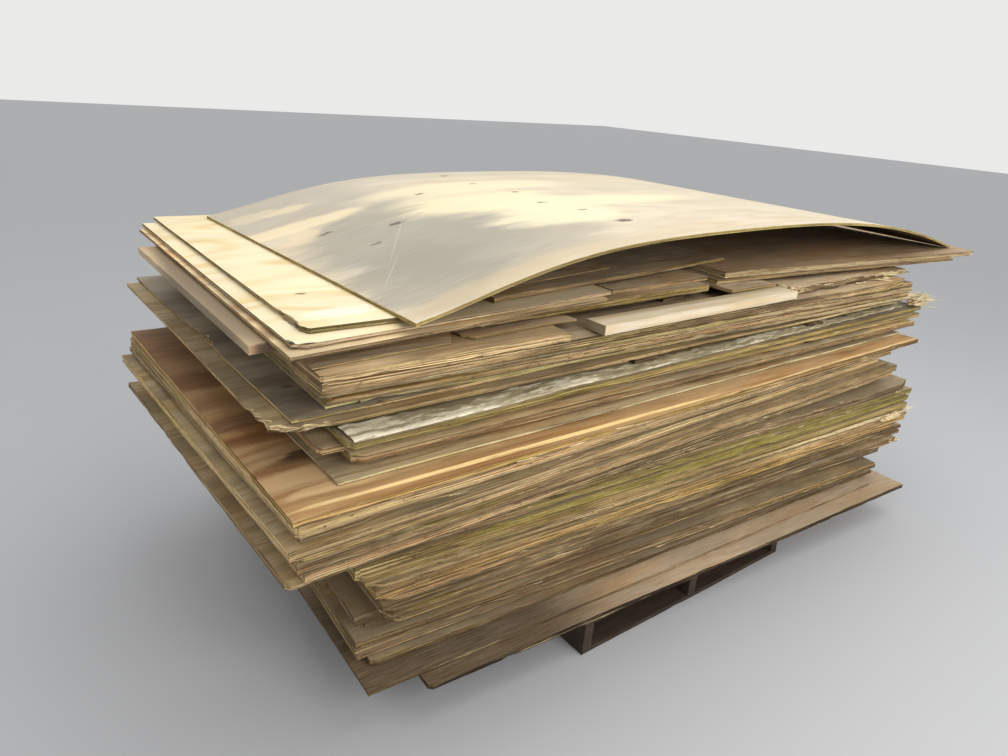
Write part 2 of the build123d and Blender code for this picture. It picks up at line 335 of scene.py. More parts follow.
def crustMaterial(name, values):
    # dried growth: silver-green lumps with dark pits, and pale flakes that thin out to the right
    material, tree, shader = startMaterial(name, values)
    spot = put(tree, "TexCoord", output=3)
    lumps = noise(tree, spot, *values["lumps"])
    along = put(tree, "SeparateXYZ", {"Vector": spot})
    flakes = times(tree, along, values["thinning"], noise(tree, spot, *values["flakes"]))
    colour = blend(tree, steps(tree, lumps, (0.34, 0.62)), values["green"], values["silver"])
    colour = lay(tree, colour, steps(tree, flakes, (0.49, 0.6)), 0.95, values["flake"])
    colour = lay(tree, colour, steps(tree, flakes, (0.42, 0.32)), 0.6, values["pit"])
    endMaterial(tree, shader, colour, sums(tree, "ADD", lumps, times(tree, flakes, 0.6)), values)
    return material


# noises: scale, detail, roughness, stretch and shift; steps: where a mask is 0 and where it is 1
veneerSet = {
    "flameScale": 0.9, "flameStretch": 4.6, "flameLines": 46.0, "flameDepth": 0.75, "fibreDepth": 0.5,
    "latewood": (0.6, 0.43, 0.3), "warm": (0.98, 0.84, 0.66), "knots": 0.85, "rough": 0.62,
    "stain": 0.55, "stainAndShadeColour": (0.16, 0.125, 0.085), "gloss": 0.25, "relief": 0.0012, "bump": 0.6,
    "fade": (1.6, 2, 0.5, (1, 2.5, 1), (4, 9, 0)), "fadeSteps": (0.36, 0.6),
    "fibre": (9, 3, 0.6, (1, 38, 1)), "fibreSteps": (0.42, 0.72),
    "broad": (2.3, 3, 0.55, (1, 4.2, 1), (3.1, 7.7, 0)), "broadSteps": (0.45, 0.68),
    "grime": 0.3, "blot": (1.7, 5, 0.62, (1, 3.0, 1), (11.0, 4.0, 0)), "grimeSteps": (0.52, 0.74),
    "finger": 0.3,       # how far a patch's fingers reach, metres
    "fingerEnds": (1.0, 7, 0.6, (3.6, 13, 0)), "fingerSides": (5.0, 3, 0.6, (1, 1, 0), (9, 2, 0)),
    "patchSoft": 0.3, "speckle": (0.35, 0.65), "speckleSteps": (0.3, 0.7),
    "crumbs": (60, 3, 0.7, (0.1, 1, 1)), "crumbled": (2.6, -0.5),
    "scratch": 0.22, "scratchTint": (0.75, 0.68, 0.5),
    "knotCells": (1.5, 3.3, 1), "knotSteps": (0.05, 0.02), "waver": 0.03,
    "knotDark": (0.06, 0.04, 0.022), "knotPale": (0.16, 0.09, 0.045),
    "patches": [], "marks": [], "scratches": [], "knotPlaces": [],
}
# the other veneers: what each changes from the plain one; places are metres in plan
# patches: middle, reach, colour and share; marks: middle, reach, turn, colour and share
# scratches: middle, reach and turn; knotPlaces: middle and size
roughSet = {
    "flameStretch": 11.0, "flameLines": 52.0, "flameDepth": 0.6, "fibreDepth": 0.95,
    "latewood": (0.5, 0.38, 0.26), "stain": 0.6, "knots": 0.6,
}
groundSet = {
    "flameStretch": 8.0, "flameDepth": 0.35, "fibreDepth": 0.8, "latewood": (0.6, 0.5, 0.4),
    "stain": 0.35, "stainAndShadeColour": (0.2, 0.16, 0.11),
    "patches": [
        ((-1.0, -0.45), (0.52, 0.4), (0.08, 0.055, 0.032), 1.0),
        ((-0.75, -0.66), (0.1, 0.03), (0.4, 0.24, 0.14), 0.5),
    ],
}
creamSet = {
    "flameScale": 1.3, "flameStretch": 3.2, "flameLines": 40.0, "flameDepth": 0.8, "fibreDepth": 0.3,
    "latewood": (0.84, 0.71, 0.48), "warm": (1.0, 0.96, 0.86), "stain": 0.2,
    "stainAndShadeColour": (0.5, 0.4, 0.24), "knots": 0.5, "knotPlaces": [((-1.24, -0.32), 0.008)],
    "patches": [
        ((-1.22, -0.47), (0.09, 0.03), (0.9, 0.87, 0.74), 0.6),
        ((-0.72, -0.5), (0.3, 0.16), (0.4, 0.31, 0.18), 0.85),
    ],
    "marks": [
        ((-1.35, -0.596), (0.026, 0.008), 0.0, (0.03, 0.02, 0.012), 1.3),
        ((-1.367, -0.575), (0.005, 0.018), 0.0, (0.04, 0.027, 0.016), 1.2),
        ((-1.27, -0.603), (0.02, 0.005), 0.0, (0.02, 0.013, 0.008), 0.9),
        ((-1.369, -0.58), (0.004, 0.02), 0.0, (0.03, 0.02, 0.012), 0.8),
        ((-1.325, -0.475), (0.004, 0.04), 0.0, (0.05, 0.034, 0.02), 0.7),
    ],
}
warmSet = {
    "flameStretch": 9.0, "flameLines": 42.0, "flameDepth": 0.9, "fibreDepth": 0.75,
    "latewood": (0.5, 0.33, 0.19), "warm": (0.95, 0.78, 0.56), "stain": 0.3, "finger": 0.2,
    "patches": [
        # dark reddish-brown patches towards the back: stains, and painted shade under the sheets above
        ((-1.37, 0.3), (0.13, 0.28), (0.22, 0.115, 0.05), 0.8),
        ((-1.33, 0.06), (0.14, 0.06), (0.17, 0.075, 0.032), 0.85),
        ((-1.34, -0.09), (0.13, 0.05), (0.26, 0.13, 0.05), 0.75),
        ((-1.31, -0.22), (0.14, 0.05), (0.16, 0.065, 0.026), 0.9),
        ((-1.29, -0.32), (0.16, 0.03), (0.17, 0.07, 0.028), 0.8),
        ((-1.307, -0.441), (0.05, 0.02), (0.02, 0.012, 0.008), 0.95),
        ((-1.25, -0.46), (0.12, 0.02), (0.14, 0.075, 0.035), 0.7),
        # the next two, pale, near the near-left corner: paler wood and painted light
        ((-1.32, -0.53), (0.2, 0.035), (0.6, 0.42, 0.22), 0.75),
        ((-1.29, -0.602), (0.12, 0.018), (0.8, 0.57, 0.3), 0.6),
        ((-1.0, -0.628), (0.36, 0.006), (0.36, 0.22, 0.1), 0.6),
        ((0.1, -0.63), (1.0, 0.014), (0.4, 0.27, 0.14), 0.6),
    ],
    "marks": [
        ((-0.78, -0.662), (0.6, 0.0075), -0.018, (0.95, 0.7, 0.32), 1.1),
        ((0.42, -0.687), (0.7, 0.006), 0.0, (0.9, 0.62, 0.3), 0.8),
        ((-0.9, -0.645), (0.5, 0.003), -0.018, (0.42, 0.25, 0.1), 0.6),
        ((-0.5, -0.68), (0.7, 0.003), -0.012, (0.45, 0.28, 0.12), 0.6),
        ((-1.32, -0.648), (0.06, 0.003), -0.02, (0.9, 0.72, 0.42), 0.5),
    ],
}
greySet = {
    "flameDepth": 0.5, "fibreDepth": 0.65, "latewood": (0.55, 0.46, 0.38),
    "warm": (0.9, 0.84, 0.75),
    "stain": 0.6, "stainAndShadeColour": (0.09, 0.07, 0.05),
    "knotPlaces": [((-1.154, -0.524), 0.006), ((-1.019, -0.58), 0.006), ((-0.75, -0.6), 0.006)],
}
bowSet = {
    "flameDepth": 0.35, "fibreDepth": 0.6, "latewood": (0.72, 0.64, 0.5), "warm": (0.98, 0.93, 0.84),
    "stain": 0.3, "stainAndShadeColour": (0.4, 0.36, 0.28), "knots": 0.3, "rough": 0.5, "finger": 0.34,
    "patches": [
        ((-0.98, 0.44), (0.30, 0.24), (0.36, 0.33, 0.275), 0.75),
        ((-0.35, 0.54), (0.75, 0.08), (0.42, 0.38, 0.3), 0.5),
        ((-1.05, -0.02), (0.2, 0.16), (0.64, 0.53, 0.37), 0.6),
        ((-0.84, -0.12), (0.28, 0.34), (0.29, 0.275, 0.23), 0.95),
        ((-0.74, -0.36), (0.30, 0.22), (0.31, 0.285, 0.235), 0.8),
        ((-1.0, -0.42), (0.16, 0.2), (0.29, 0.27, 0.22), 0.85),
        ((-1.02, 0.20), (0.2, 0.05), (0.8, 0.66, 0.42), 0.85),
        ((-0.97, 0.40), (0.08, 0.03), (0.76, 0.62, 0.4), 0.7),
        ((-1.09, 0.42), (0.07, 0.05), (0.7, 0.58, 0.38), 0.6),
        ((-1.06, 0.10), (0.06, 0.05), (0.74, 0.6, 0.38), 0.7),
        ((-0.38, 0.27), (0.40, 0.09), (0.77, 0.67, 0.44), 0.8),
        ((-0.50, 0.03), (0.27, 0.17), (0.79, 0.69, 0.45), 0.92),
        ((-0.44, -0.25), (0.2, 0.12), (0.79, 0.7, 0.47), 0.9),
        ((-0.12, -0.1), (0.45, 0.075), (0.77, 0.68, 0.45), 0.8),
        ((-0.42, 0.14), (0.26, 0.03), (0.52, 0.46, 0.34), 0.5),
        ((0.25, 0.22), (0.32, 0.12), (0.5, 0.45, 0.34), 0.45),
        ((0.45, -0.2), (0.36, 0.13), (0.48, 0.42, 0.32), 0.45),
        ((0.95, 0.0), (0.28, 0.35), (0.5, 0.44, 0.33), 0.5),
        ((-0.8, -0.59), (0.5, 0.04), (0.5, 0.4, 0.25), 0.7),
    ],
    "marks": [((-0.34, -0.41), (0.02, 0.01), 0.0, (0.1, 0.06, 0.03), 0.9)],
    "knotPlaces": [
        ((-1.0, 0.065), 0.010), ((-0.84, -0.035), 0.013), ((-0.955, -0.135), 0.009),
        ((-0.61, 0.22), 0.009), ((-0.33, 0.505), 0.012), ((-0.345, 0.31), 0.010),
        ((-0.315, 0.11), 0.010), ((-0.37, -0.085), 0.012), ((-0.335, -0.23), 0.010),
        ((-0.345, -0.4), 0.018),
    ],
    "scratches": [((-0.89, -0.13), (0.19, 0.0018), 0.95), ((-1.02, -0.33), (0.1, 0.0015), 0.9)],
}
edgeSet = {
    "endGrain": 0.55, "endGrainTint": (0.56, 0.46, 0.35), "glue": 0.55, "greener": (0.84, 0.88, 0.62),
    "rosier": (1.06, 0.94, 0.9), "darker": (0.34, 0.26, 0.18),
    # the grime colour also paints the shade at the joins between sheets
    "lighter": (0.92, 0.7, 0.37), "grimeColour": (0.085, 0.056, 0.03),
    "moss": (0.34, 0.29, 0.05), "rawWood": (0.95, 0.8, 0.5), "rawShade": (0.5, 0.36, 0.19),
    "glueSteps": (0.38, 0.5), "glueTint": (0.07, 0.042, 0.022),
    "greenSteps": (0.5, 0.64), "rosySteps": (0.46, 0.34),
    "rough": 0.85, "gloss": 0.15, "relief": 0.0015, "bump": 0.8,
    "plyNoises": {"run": (2.6, 4, 0.62), "short": (19, 3, 0.6, (1, 1, 1), (3, 3, 0)),
                  "dashes": (42, 2, 0.5, (1, 1, 1), (7, 1, 0))},
    "longNoises": {"streak": (14, 3, 0.65, (1, 0.16, 1)), "pores": (80, 2, 0.6, (1, 0.05, 1)),
                   "drift": (1.3, 3, 0.55, (1, 0.05, 1), (9.0, 6.0, 0)),
                   "blot": (3.1, 4, 0.6, (1, 0.03, 1), (5.0, 2.0, 0))},
    # noise, its steps, how strong and which tint
    "layers": [("run", (0.5, 0.68), 0.95, "darker"), ("run", (0.48, 0.3), 0.95, "lighter"),
               ("short", (0.52, 0.68), 0.55, "darker"), ("streak", (0.54, 0.72), 0.5, "darker"),
               ("pores", (0.58, 0.74), 0.13, "darker")],
}
boardSet = {
    "gloss": 0.25, "relief": 0.0012, "bump": 0.6, "marks": [],
    "warp": (1.4, 3, 0.5, (1, 9, 1)), "fibre": (12, 3, 0.6, (1, 45, 1)), "blot": (5, 4, 0.6),
    "rings": {"Scale": 38, "Distortion": 5, "Detail": 2, "Detail Scale": 0.4},
    "sawMarks": {"Scale": 55, "Distortion": 2.5, "Detail": 2},
}
palletSet = {
    "latewood": (0.55, 0.42, 0.32), "streak": 0.6, "lines": 60.0, "saw": 0.5, "rough": 0.85,
    "stainAndShadeColour": (0.05, 0.037, 0.026),
}
planedSet = {
    "latewood": (0.86, 0.68, 0.42), "streak": 0.55, "lines": 36.0, "saw": 0.05, "rough": 0.5,
    "stainAndShadeColour": (0.55, 0.45, 0.26),
    "marks": [
        # painted shadow of the thick offcuts above, over the rear half of the new board's top
        ((-0.24, -0.595), (0.5, 0.022), 0.0, (0.38, 0.3, 0.17), 0.7),
        # the new board's left end: darker end grain, and painted shade
        ((-0.643, -0.627), (0.005, 0.05), 0.0, (0.27, 0.21, 0.12), 0.85),
        # painted shade over the cross board's inner half, under the sheets above
        ((-1.352, -0.04), (0.05, 0.52), -0.0227, (0.13, 0.09, 0.05), 0.8),
        ((-1.39, -0.5), (0.05, 0.006), 0.0, (0.5, 0.29, 0.14), 0.6),
        ((-1.392, -0.17), (0.04, 0.34), -0.0227, (0.19, 0.14, 0.08), 0.85),
        # painted shadow over the right part of the cross board's front end
        ((-1.372, -0.5), (0.034, 0.006), 0.0, (0.1, 0.065, 0.04), 0.9),
    ],
}
growthSet = {
    "green": (0.33, 0.29, 0.17), "silver": (0.52, 0.46, 0.3), "flake": (0.86, 0.8, 0.62),
    "pit": (0.2, 0.18, 0.11), "rough": 0.7, "gloss": 0.3, "relief": 0.004, "bump": 0.9,
    "lumps": (20, 5, 0.65, (0.3, 1.4, 1)), "flakes": (27, 5, 0.7, (0.3, 1.5, 1), (4, 1, 0)),
    "thinning": -0.05,   # how much the flakes fall off in each metre to the right
}
veneers = {
    "plain": {}, "cream": creamSet, "warm": warmSet, "grey": greySet, "bow": bowSet,
    "rough": roughSet, "ground": groundSet,
}
faces = {kind: faceMaterial(kind + "Veneer", {**veneerSet, **changes})
         for kind, changes in veneers.items()}
plyEdge = edgeMaterial("plyEdge", edgeSet)
boards = {
    "sawn": boardMaterial("sawnBoard", {**boardSet, **palletSet}),
    "planed": boardMaterial("planedBoard", {**boardSet, **planedSet}),
}
driedGrowth = crustMaterial("driedGrowth", growthSet)
print("materials ready")


# sheets: tones in linear colour
# the three darkest tones are dark wood with painted shade, for pieces that sit in deep shade
tones = {
    "cream": (0.88, 0.71, 0.42), "pale": (0.76, 0.56, 0.3), "honey": (0.66, 0.43, 0.18),
    "tan": (0.56, 0.40, 0.21), "brown": (0.27, 0.185, 0.095), "olive": (0.47, 0.37, 0.15),
    "drab": (0.26, 0.2, 0.12), "umber": (0.15, 0.1, 0.06), "slate": (0.42, 0.36, 0.27),
    "white": (0.78, 0.69, 0.48), "russet": (0.42, 0.3, 0.18), "shadedDarkWood": (0.045, 0.03, 0.02),
    "dusty": (0.56, 0.44, 0.3), "amber": (0.5, 0.33, 0.16), "camel": (0.44, 0.32, 0.18),
    "pinkish": (0.52, 0.39, 0.25), "khaki": (0.4, 0.33, 0.2), "bark": (0.1, 0.065, 0.04),
    "bone": (0.62, 0.55, 0.425), "sand": (0.56, 0.45, 0.3), "straw": (0.52, 0.42, 0.25),
    "planed": (0.66, 0.59, 0.46),
}
plyCounts = {6: 3, 8: 3, 9: 3, 12: 5, 19: 7, 25: 9, 28: 9}   # by thickness in millimetres, else 7
sheetSet = {
    "step": 0.014,       # spacing of the points along the front and left edges, metres
    "backStep": 0.03,    # and along the back and right edges
    "wave": 0.0010,      # long waviness of an edge
    "fray": 0.0005,      # ply by ply roughness
    "endFray": 0.45,     # share of that roughness on the left and right edges
    "chips": 30,         # broken places in 7 m of edge
    "chipDepth": 0.008,
    "chipWidths": (0.008, 0.05),
    "endChips": 0.3,     # share of the chips' depth on the left edge
    "gap": 0.0034,       # how far faces part at the edges
    "margin": 0.045,     # width of the sloped margin of a face
    "plyTones": (0.58, 1.24), "sheetTones": (0.82, 1.1),   # factors for the tones of plies and sheets
    # the next value sets how dark the painted shade on an edge gets where two sheets meet
    "seamShade": 0.78,        # how dark an edge gets where two sheets meet
    "ragged": 0.14,      # how far the ends of a shade wander
    "palest": 0.95,
}
# boards: finer points, a narrower margin, smaller gaps and chips, and a lighter painted shade where they
# meet other pieces
boardSize = {
    "margin": 0.004, "gap": 0.0015, "step": 0.012, "backStep": 0.012, "chipDepth": 0.005, "seamShade": 0.15,
}
baseLooks = {
    "bottom": {"veneer": "ground", "face": "dusty", "grime": 0.8},
    "lower": {"veneer": "rough", "face": "straw", "grime": 0.55},
    "middle": {"veneer": "rough", "face": "straw", "grime": 0.3},
    "upper": {"veneer": "rough", "face": "straw", "grime": 0.4},
    "": {"veneer": "rough", "face": "tan", "grime": 0.35},
}


def lookOf(edge, shade=(), **changes):
    # an edge's tone, its shades, and what else differs from the base look
    return {"edge": edge, "shade": shade, **changes}


# shade: spans of x with a factor for the front edge; moss: spans of x with a share
# tatters: place, reach and depth of torn corners; chips: how many, as a factor
# side: a factor for the left edge's tone; fresh: how pale its broken wood is
sheetLooks = {
    # near-black edge: painted shade over dark old wood, low down by the pallet
    "bottom_sheet_01": lookOf("shadedDarkWood"),
    "bottom_sheet_02": lookOf("drab", [(-1.6, -0.5, 0.7), (-0.5, 1.6, 1.8)], chips=0.5),
    "lower_sheet_01": lookOf("brown"),
    "lower_sheet_02": lookOf("camel", [(0.2, 1.6, 1.5)], grime=0.7),
    "lower_sheet_03": lookOf("camel", grime=0.7),
    "lower_sheet_04": lookOf("brown", [(0.25, 1.6, 2.0)]),
    "lower_sheet_05": lookOf("brown", grime=0.7),
    "lower_sheet_06": lookOf("brown"),
    "lower_sheet_07": lookOf("drab", grime=0.8),
    "lower_sheet_08": lookOf("brown"),
    "lower_sheet_09": lookOf("brown", grime=0.7),
    "lower_sheet_10": lookOf("brown", [(-0.5, 0.3, 0.6)], grime=0.7),
    "lower_sheet_11": lookOf("tan", [(0.1, 1.6, 0.45)], chips=2, tatters=[((-1.1, -0.75), 0.12, 0.02)]),
    "lower_sheet_12": lookOf("honey", [(-0.3, 0.4, 1.35)], chips=2),
    "lower_sheet_13": lookOf("honey", [(0.3, 1.6, 1.4)], moss=[(-0.3, 0.1, 0.3)]),
    "lower_sheet_14": lookOf(
        "tan", [(-0.6, 0.3, 0.7), (0.3, 1.6, 1.3)], moss=[(-0.5, 0.0, 0.3)],
        tatters=[((-1.08, -0.76), 0.1, 0.02)]),
    "lower_sheet_15": lookOf("pale", [(-1.6, -0.5, 0.74), (0.2, 1.6, 2.0)], moss=[(0.0, 0.6, 0.5)]),
    "lower_sheet_16": lookOf(
        "tan", [(-1.6, -0.5, 0.8), (0.3, 1.6, 1.2)], moss=[(-1.3, 0.1, 0.5), (0.0, 1.3, 0.7)]),
    "lower_sheet_17": lookOf(
        "olive", [(-1.6, -0.5, 0.7), (0.4, 1.6, 0.75)], moss=[(-0.95, 1.3, 0.95)], grime=0.6),
    "lower_sheet_18": lookOf(
        "camel", [(-1.6, 1.6, 0.72), (0.4, 1.6, 0.72)], moss=[(-0.8, 1.3, 0.9)], chips=1.6),
    "lower_sheet_19": lookOf("camel", chips=1.5),
    "middle_sheet_01": lookOf("camel", [(-0.6, 0.4, 0.45), (0.4, 1.6, 0.8)], chips=2),
    "middle_sheet_02": lookOf("pale", [(-0.6, 0.35, 0.42), (0.35, 1.6, 0.8)], chips=1.5),
    "middle_sheet_03": lookOf("tan", [(-1.6, -0.5, 0.8)]),
    "middle_sheet_04": lookOf("tan", [(-1.6, -0.65, 0.5), (-0.5, 0.3, 1.15)], grime=0.5),
    "middle_sheet_05": lookOf("tan", [(-1.6, -0.5, 1.5), (-0.5, 1.6, 0.85)]),
    "middle_sheet_06": lookOf("pale", [(-1.6, -0.6, 0.6), (0.4, 1.6, 0.85)]),
    "middle_sheet_07": lookOf("camel", [(-1.6, -0.5, 0.85), (-0.5, 1.6, 0.72)]),
    "middle_sheet_08": lookOf("pale", [(-0.6, 1.6, 0.75)], grime=0.2),
    "middle_sheet_09": lookOf(
        "honey", [(-1.6, -0.7, 1.35), (-0.3, 1.6, 0.7), (0.5, 1.6, 0.65)],
        veneer="warm", face="amber", grime=0.2, chips=1.4),
    "upper_sheet_01": lookOf("cream", [(-1.6, 1.6, 1.5)]),
    "upper_sheet_02": lookOf("tan", [(-1.6, 0.2, 0.75)], face="cream"),
    "upper_sheet_03": lookOf("tan", [(-0.6, 1.6, 1.45)]),
    "upper_sheet_04": lookOf(
        "olive", [(-0.6, 1.6, 1.35)], veneer="grey", face="khaki", moss=[(-1.4, 1.3, 0.3)]),
    "upper_sheet_05": lookOf(
        "pale", [(-1.6, -0.5, 0.75), (0.4, 1.6, 1.7)], fresh=1.4,
        tatters=[((-1.37, -0.5), 0.11, 0.028)]),
    "upper_sheet_06": lookOf(
        "pale", [(-1.6, -0.6, 1.45), (-0.5, 0.3, 0.75)], veneer="grey", face="slate",
        tatters=[((-1.34, 0.05), 0.14, 0.016)]),
    "upper_sheet_07": lookOf("cream", [(-1.6, -0.6, 1.3), (-0.5, 0.3, 0.75)], grime=0.3, side=0.6),
    "upper_sheet_08": lookOf("tan", side=0.6),
    "upper_sheet_09": lookOf("cream", side=0.5),
    "upper_sheet_10": lookOf("tan", [(-1.6, -0.7, 0.75), (-0.7, 0.4, 0.52)], grime=0.6, side=0.6),
    "upper_sheet_11": lookOf("tan", [(-0.7, 0.4, 0.45)], face="sand", grime=0.6, side=0.6),
    "short_sheet": lookOf(
        "pale", [(-1.6, -0.6, 1.35), (-0.6, 1.6, 0.6)], tatters=[((1.0, -0.65), 0.1, 0.03)]),
    "splintered_sheet": lookOf(
        "camel", [(-1.6, 1.6, 0.72), (0.4, 1.6, 0.6)], face="sand", chips=2.5,
        fresh=1.5, tatters=[((0.94, -0.63), 0.14, 0.03), ((0.2, -0.63), 0.1, 0.02)]),
    "tapered_sheet_lower": lookOf("camel", [(-1.6, 0.0, 0.75)], veneer="plain", face="cream"),
    "tapered_sheet_upper": lookOf(
        "dusty", [(-1.6, -1.0, 1.7)], veneer="cream", face="white", grime=0.3, chips=0.5),
    "end_sheet": lookOf(
        "khaki", veneer="cream", face="white", grime=0.3, chips=0.5,
        tatters=[((-1.33, -0.47), 0.07, 0.008)]),
    "right_sheet_lower": lookOf("tan", [(-1.6, 1.6, 0.8)], face="russet", grime=0.5),
    "right_sheet_upper": lookOf(
        "cream", face="russet", grime=0.15, tatters=[((1.36, -0.67), 0.05, 0.012)]),
    "thick_offcuts": lookOf("tan", face="sand"),
    "thin_offcuts": lookOf("tan", face="sand"),
    # dark umber face and edge: painted shade, so the spacers sink into the gaps between sheets
    "spacer_strips": lookOf("umber", face="umber"),
}
# board: its kind, tone and grime; the pallet's near-black tones are dark old wood with painted shade
boardLooks = {
    "top_boards": ("sawn", "bark", 0.6), "bottom_boards": ("sawn", "shadedDarkWood", 0.7),
    "stringer_left": ("sawn", "shadedDarkWood", 0.7), "stringer_middle": ("sawn", "shadedDarkWood", 0.6),
    "stringer_right": ("sawn", "shadedDarkWood", 0.7),
    "new_board": ("planed", "planed", 0.15), "cross_board": ("planed", "pinkish", 0.6),
}


def solidsOf(name):
    # groups a node's triangles into solids: labels spread over shared corners until none changes
    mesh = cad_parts[name].data
    corners = np.empty(len(mesh.vertices) * 3)
    mesh.vertices.foreach_get("co", corners)
    corners = corners.reshape(-1, 3)
    mesh.calc_loop_triangles()
    triangles = np.empty(len(mesh.loop_triangles) * 3, int)
    mesh.loop_triangles.foreach_get("vertices", triangles)
    places, same = np.unique(np.round(corners, 4), axis=0, return_inverse=True)
    triangles = same.reshape(-1)[triangles].reshape(-1, 3)
    label = np.arange(len(places))
    while True:
        lowest = label[triangles].min(1)
        new = label.copy()
        for corner in range(3):
            np.minimum.at(new, triangles[:, corner], lowest)
        if (new == label).all():
            break
        label = new
    return [places[label == value] for value in np.unique(label)]


def outlineOf(corners):
    # the plan outline of a flat solid: its top corners in order of their angle round the middle
    top = corners[corners[:, 2] > corners[:, 2].max() - 1e-4][:, :2]
    middle = (top.min(0) + top.max(0)) / 2
    angle = np.arctan2(top[:, 1] - middle[1], top[:, 0] - middle[0])
    return top[np.argsort(angle)]


def turnOf(outline):
    # the turn that gives the smallest box round the outline
    turns = np.radians(np.arange(-20, 20, 0.05))
    alongs = np.outer(outline[:, 0], np.cos(turns)) + np.outer(outline[:, 1], np.sin(turns))
    across = np.outer(outline[:, 1], np.cos(turns)) - np.outer(outline[:, 0], np.sin(turns))
    return turns[np.argmin(np.ptp(alongs, 0) * np.ptp(across, 0))]


def planAxes(turn):
    # the turned directions along and across a sheet, as columns
    return np.array([[math.cos(turn), -math.sin(turn)], [math.sin(turn), math.cos(turn)]])


def ripple(along, length, spacing, rng, rows=1):
    # random heights at knots about spacing apart, joined by straight runs, closed round the outline
    knots = max(4, int(length / spacing))
    heights = rng.uniform(-1, 1, (rows, knots + 1))
    heights[:, -1] = heights[:, 0]
    at = along / length * knots
    low = np.minimum(at.astype(int), knots - 1)
    share = at - low
    return heights[:, low] * (1 - share) + heights[:, low + 1] * share


def chipsAlong(along, length, count, depth, widths, rng):
    # each chip is a bay: depth * (1 - distance / width) ** 0.7
    places = rng.uniform(0, length, (count, 1))
    widths = rng.uniform(*widths, (count, 1))
    depths = depth * rng.uniform(0.15, 1.0, (count, 1)) ** 2
    away = np.abs((along[None] - places + length / 2) % length - length / 2)
    return (depths * np.clip(1 - away / widths, 0, 1) ** 0.7).max(0)


def measureRing(ring):
    # how far along the outline each point lies, the outline's length, and the ways inward
    spans = np.hypot(*(np.roll(ring, -1, 0) - ring).T)
    along = np.concatenate([[0], np.cumsum(spans)[:-1]])
    tangent = np.roll(ring, -1, 0) - np.roll(ring, 1, 0)
    inward = np.stack([-tangent[:, 1], tangent[:, 0]], 1) / np.hypot(*tangent.T)[:, None]
    return along, spans.sum(), inward


def walkOutline(local, near, far):
    # points along the outline: near metres apart on its front and left, far on its back and right
    runs = []
    for start, end in zip(local, np.roll(local, -1, 0)):
        run = end - start
        size = math.hypot(*run)
        hidden = run[0] < -0.5 * size or run[1] > 0.5 * size
        count = max(1, int(size / (far if hidden else near)))
        runs.append(start + run * np.arange(count)[:, None] / count)
    return np.concatenate(runs)


def edgeDepths(ring, along, length, inward, plies, look, values, rng):
    # how far each ply falls back from the outline: waves, fraying, chips off both faces, torn corners
    fray = values["fray"] * np.where(np.abs(inward[:, 0]) > 0.7, values["endFray"], 1.0)
    depth = values["wave"] * (1 + ripple(along, length, 0.5, rng))
    for amount, spacing in ((1, 0.04), (0.9, 0.22)):
        depth = depth + fray * amount * (1 + ripple(along, length, spacing, rng, plies))
    share = ((np.arange(plies) + 0.5) / plies)[:, None]
    often = look.get("chips", 1)
    count = max(1, int(values["chips"] * length / 7 * often))
    reach = values["chipDepth"] * min(often, 1.6)
    chip = 0
    for fromFace in (share * 2.2 - 1.2, 1 - share * 2.2):
        bays = chipsAlong(along, length, count, reach, values["chipWidths"], rng)
        chip = chip + bays * np.clip(fromFace, 0, 1)
    chip = chip * np.where(inward[:, 0] > 0.7, values["endChips"], 1.0)
    for spot, size, torn in look.get("tatters", ()):
        near = np.clip(1 - np.hypot(*(ring - spot).T) / size, 0, 1) ** 0.5
        chip = chip + near * torn * rng.uniform(0, 1, (plies, len(along)))
    return depth + chip, chip


